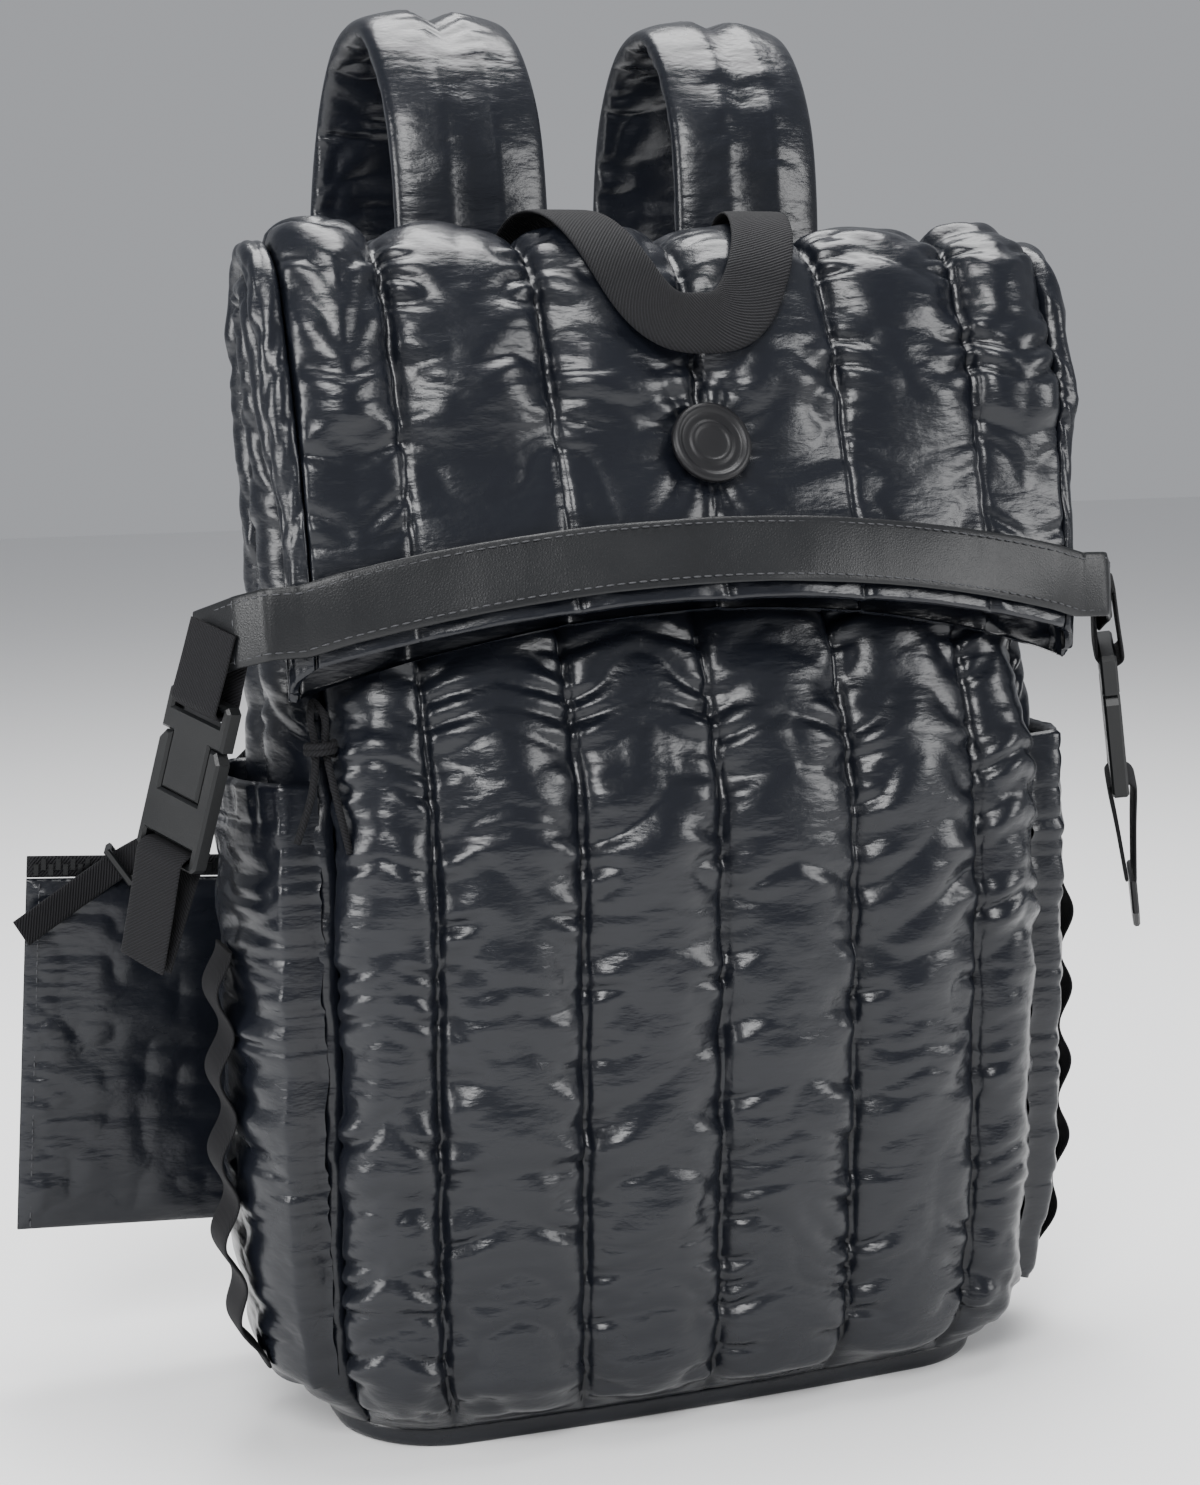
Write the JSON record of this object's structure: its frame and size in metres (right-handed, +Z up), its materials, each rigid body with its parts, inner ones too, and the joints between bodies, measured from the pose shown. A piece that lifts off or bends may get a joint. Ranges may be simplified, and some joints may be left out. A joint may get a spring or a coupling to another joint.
{
  "type": "quilted backpack",
  "caption": "Quilted puffer backpack with a folded-over top, a leather rim band, side-release buckles, padded shoulder straps and a flat zip pouch hung at one side.",
  "frame": {"origin": "Middle of the flat base, on the floor.", "axes": "+Z up through the bag, -Y out of the front, +X to the right of someone who faces the front."},
  "size_m": [0.4725, 0.2401, 0.5586],
  "materials": {
    "quilt": "glossy padded nylon",
    "leather": "satin smooth leather",
    "webbing": "matte twill webbing",
    "plastic": "moulded satin",
    "rubber": "moulded matt"
  },
  "bodies": {
    "root": {"anchor_tab_left": "webbing", "anchor_tab_right": "webbing", "back_panel": "quilt", "badge": "rubber", "base_panel": "quilt", "buckle_loop_left": "webbing", "buckle_loop_right": "webbing", "buckle_plug_left": "plastic", "buckle_plug_right": "plastic", "buckle_socket_left": "plastic", "buckle_socket_right": "plastic", "cord_knot": "webbing", "front_panel": "quilt", "handle": "webbing", "ladder_left": "webbing", "ladder_lock_left": "plastic", "ladder_lock_right": "plastic", "ladder_right": "webbing", "pouch": "quilt", "pouch_puller": "plastic", "pouch_strap": "webbing", "pouch_zip": "rubber", "rim_band": "leather", "rim_band_inner": "leather", "shoulder_strap_left": "quilt", "shoulder_strap_right": "quilt", "side_panel_left": "quilt", "side_panel_right": "quilt", "side_pocket_left": "quilt", "side_pocket_right": "quilt", "side_strap_left": "webbing", "side_strap_right": "webbing", "strap_stop_right": "rubber", "strap_webbing_left": "webbing", "strap_webbing_right": "webbing", "zip_cord": "webbing"}
  },
  "joints": []
}
